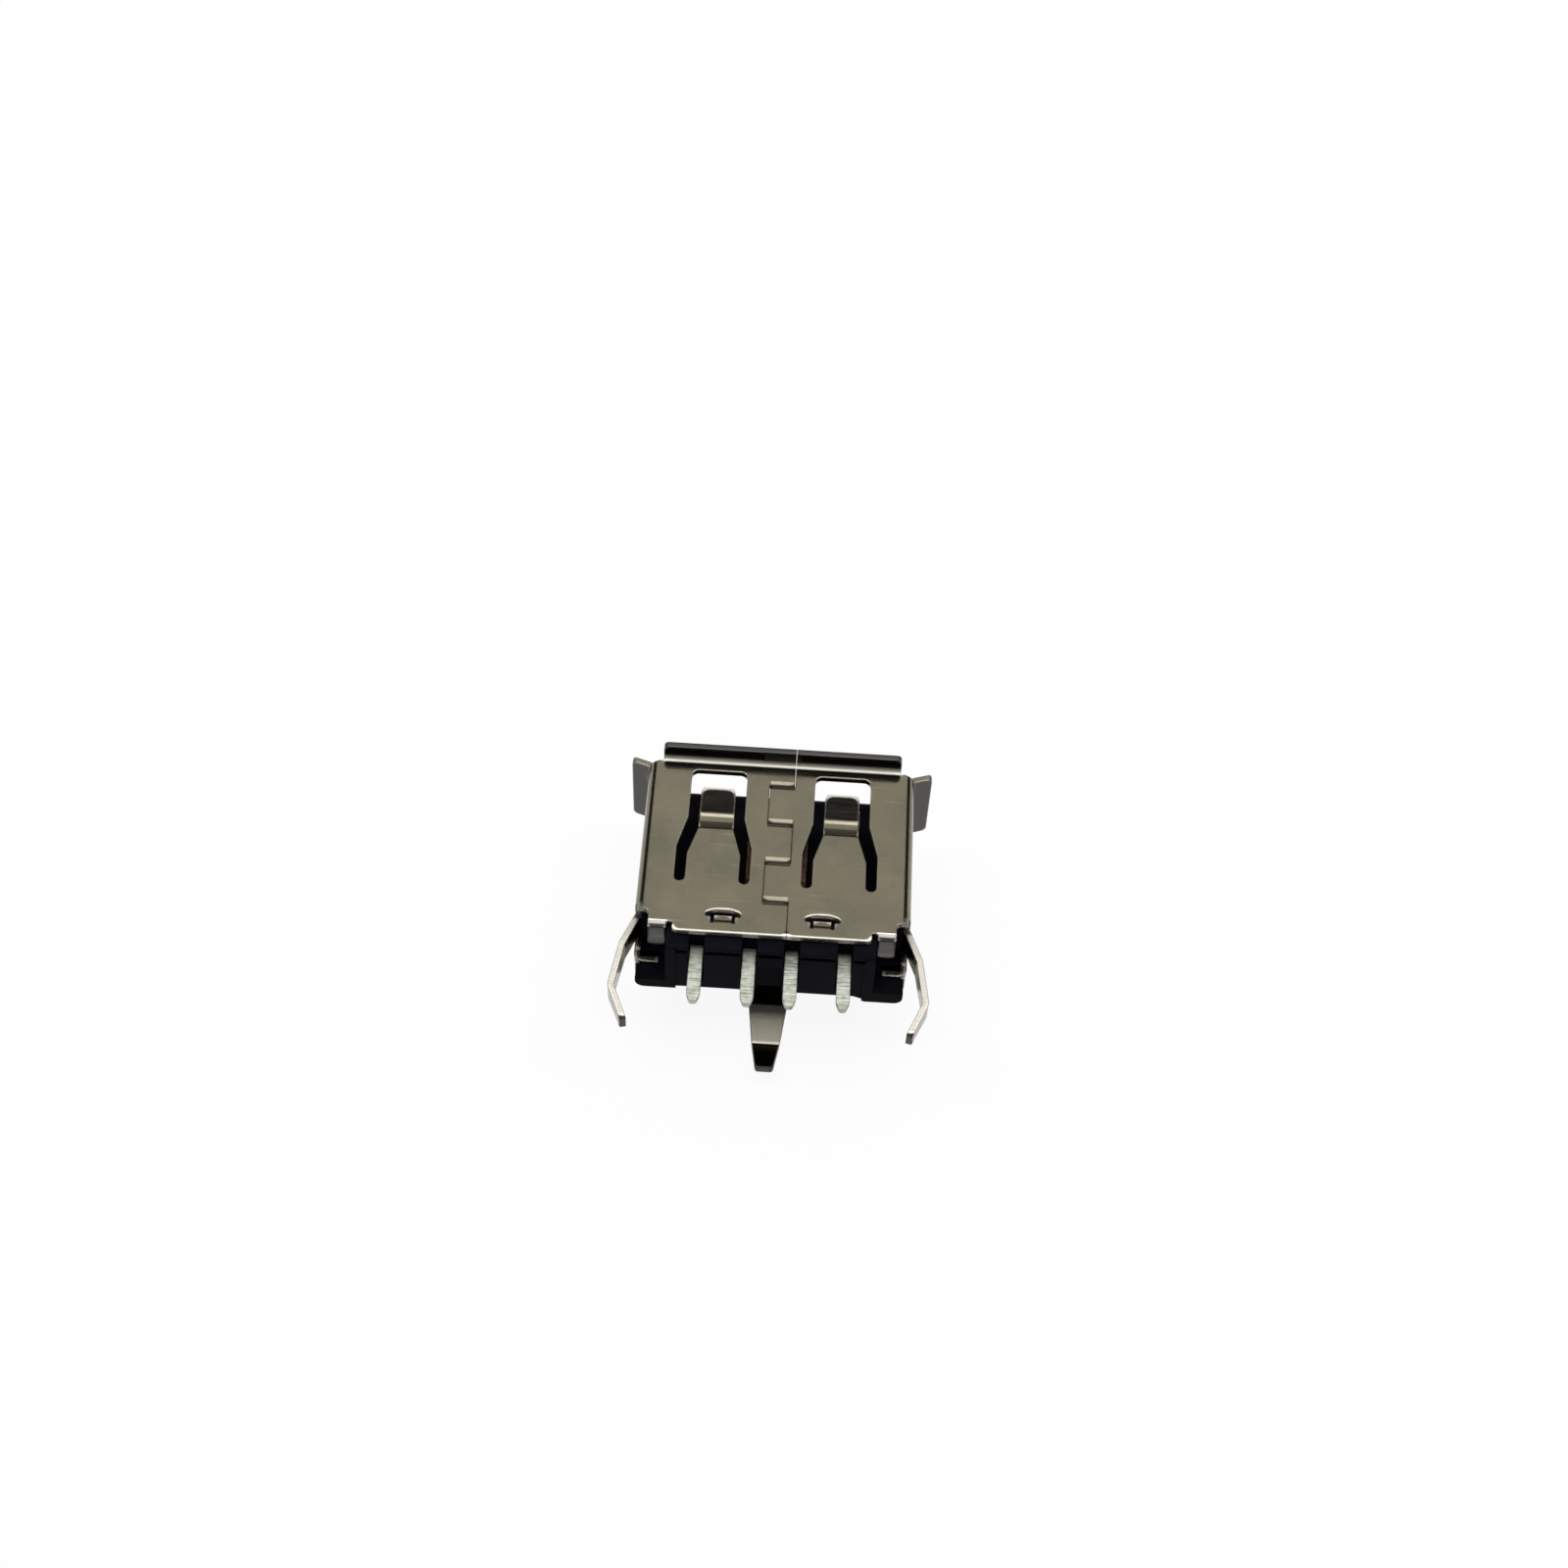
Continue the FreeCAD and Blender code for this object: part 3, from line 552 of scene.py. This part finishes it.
def black_moulding():
    """Black glass-filled plastic: near black, slightly blue, with a fine matte grain."""
    material, tree, shader = new_material("black_moulding")
    edges = use_group(tree, rounded_edges, {"Radius": MOULDING_EDGE_SIZE})
    patches = use_group(tree, mottle, MOULDING_PATCHES)["Value"]
    grain = use_group(tree, mottle, MOULDING_GRAIN)["Value"]
    tree.links.new(mix_colour(tree, patches, MOULDING_SHADE, MOULDING_LIGHT), shader.inputs["Base Color"])
    tree.links.new(blend_value(tree, patches, *MOULDING_ROUGHNESS), shader.inputs["Roughness"])
    shader.inputs["Specular IOR Level"].default_value = MOULDING_SPECULAR
    add_bumps(tree, shader, MOULDING_BUMP, grain, edges["Normal"])
    return material


def dress(node, material):
    """Gives a CAD node its finish."""
    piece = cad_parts[node]
    piece.data.materials.clear()
    piece.data.materials.append(material)


nickel = nickel_sheet()
tin = tinned_contact()
plastic = black_moulding()
dress("shell", nickel)
dress("insulator", plastic)
for contact in ("contact_power", "contact_data_minus", "contact_data_plus", "contact_ground"):
    dress(contact, tin)


def round_grid(row_values):
    """Each row's value, and each column's angle round a full turn, at every point of a grid."""
    angles = np.linspace(0, 2 * math.pi, ROUND_COLUMNS, endpoint=False)
    return np.meshgrid(row_values, angles, indexing="ij")


def round_piece(name, radius, height, angle, material):
    """A round surface from grids of its points' radii, heights and angles, rows by columns.

    A point lies at radius times the cosine and the sine of its angle, and at its height. Each four
    neighbours make a quad, and the last column joins the first.
    """
    points = np.stack([radius * np.cos(angle), radius * np.sin(angle), height], axis=-1)
    rows, columns = radius.shape
    row, column = np.meshgrid(np.arange(rows - 1), np.arange(columns), indexing="ij")
    onward = (column + 1) % columns
    corners = [row * columns + column, row * columns + onward]
    corners += [(row + 1) * columns + onward, (row + 1) * columns + column]
    quads = np.stack(corners, axis=-1).reshape(-1, 4)
    mesh = bpy.data.meshes.new(name)
    mesh.from_pydata(points.reshape(-1, 3).tolist(), [], quads.tolist())
    mesh.materials.append(material)
    piece = bpy.data.objects.new(name, mesh)
    bpy.context.scene.collection.objects.link(piece)
    return piece


def floor_material():
    """Pale paper that shows white to the camera and in reflections, and keeps the shadow."""
    material = bpy.data.materials.new("pale_floor")
    material.use_nodes = True
    tree = material.node_tree
    tree.nodes.clear()
    paper = set_node(tree, "ShaderNodeBsdfDiffuse", {"Color": (*FLOOR_COLOUR, 1.0)})
    white = set_node(tree, "ShaderNodeEmission", {"Color": (1.0, 1.0, 1.0, 1.0), "Strength": 1.0})
    path = set_node(tree, "ShaderNodeLightPath").outputs
    seen = calculate(tree, "ADD", path["Is Camera Ray"], path["Is Glossy Ray"])
    seen = calculate(tree, "ADD", seen, path["Is Transmission Ray"], clamp=True)
    share = calculate(tree, "MULTIPLY", seen, FLOOR_WHITE)
    mix = set_node(
        tree,
        "ShaderNodeMixShader",
        {0: share, 1: paper.outputs["BSDF"], 2: white.outputs["Emission"]},
    )
    set_node(tree, "ShaderNodeOutputMaterial", {"Surface": mix.outputs["Shader"]})
    return material


def wall_material():
    """Plain grey paper."""
    material, _, shader = new_material("pale_wall")
    shader.inputs["Base Color"].default_value = (*WALL_COLOUR, 1.0)
    shader.inputs["Roughness"].default_value = WALL_ROUGHNESS
    return material


def make_floor():
    """A flat disc: radius grows evenly along the rows, the angle runs once round the columns.

    It starts at a small hole under the socket.
    """
    radius, angle = round_grid(np.linspace(FLOOR_HOLE, FLOOR_RADIUS, FLOOR_ROWS))
    floor = round_piece("floor", radius, np.zeros_like(radius), angle, floor_material())


def make_wall():
    """A low round wall: a quarter ring of paper that leaves the floor level and ends upright.

    At turn t, from 0 to a quarter turn, its radius is FLOOR_RADIUS + WALL_HEIGHT * sin(t) and its
    height is WALL_HEIGHT * (1 - cos(t)).
    """
    turn, angle = round_grid(np.linspace(0, math.pi / 2, WALL_ROWS))
    radius = FLOOR_RADIUS + WALL_HEIGHT * np.sin(turn)
    height = WALL_HEIGHT * (1 - np.cos(turn))
    wall = round_piece("wall", radius, height, angle, wall_material())


def add_lamp(name, centre, width, depth, radiance):
    """A soft rectangular lamp that faces the socket. Radiance is the level that it shows in a mirror."""
    light = bpy.data.lights.new(name, "AREA")
    light.shape = "RECTANGLE"
    light.size = width
    light.size_y = depth
    light.energy = radiance * POWER_PER_RADIANCE * width * depth
    lamp = bpy.data.objects.new(name, light)
    lamp.location = centre
    lamp.rotation_euler = (-Vector(centre)).to_track_quat("-Z", "Y").to_euler()
    bpy.context.scene.collection.objects.link(lamp)


def make_room():
    """An even dim room."""
    world = bpy.data.worlds.new("room")
    world.use_nodes = True
    world.node_tree.nodes["Background"].inputs["Color"].default_value = (*ROOM_COLOUR, 1.0)
    bpy.context.scene.world = world


def make_camera():
    """The camera of the photograph."""
    data = bpy.data.cameras.new("camera")
    data.lens = CAMERA_LENS
    data.sensor_width = CAMERA_SENSOR
    data.clip_start = CAMERA_NEAR
    data.clip_end = CAMERA_FAR
    camera = bpy.data.objects.new("camera", data)
    axes = Matrix((CAMERA_RIGHT, CAMERA_UP, CAMERA_BACK)).transposed()
    camera.matrix_world = Matrix.Translation(CAMERA_PLACE) @ axes.to_4x4()
    bpy.context.scene.collection.objects.link(camera)
    bpy.context.scene.camera = camera


make_floor()
make_wall()
make_room()
for lamp_values in LAMPS:
    add_lamp(*lamp_values)
make_camera()
bpy.context.scene.view_settings.view_transform = "Standard"
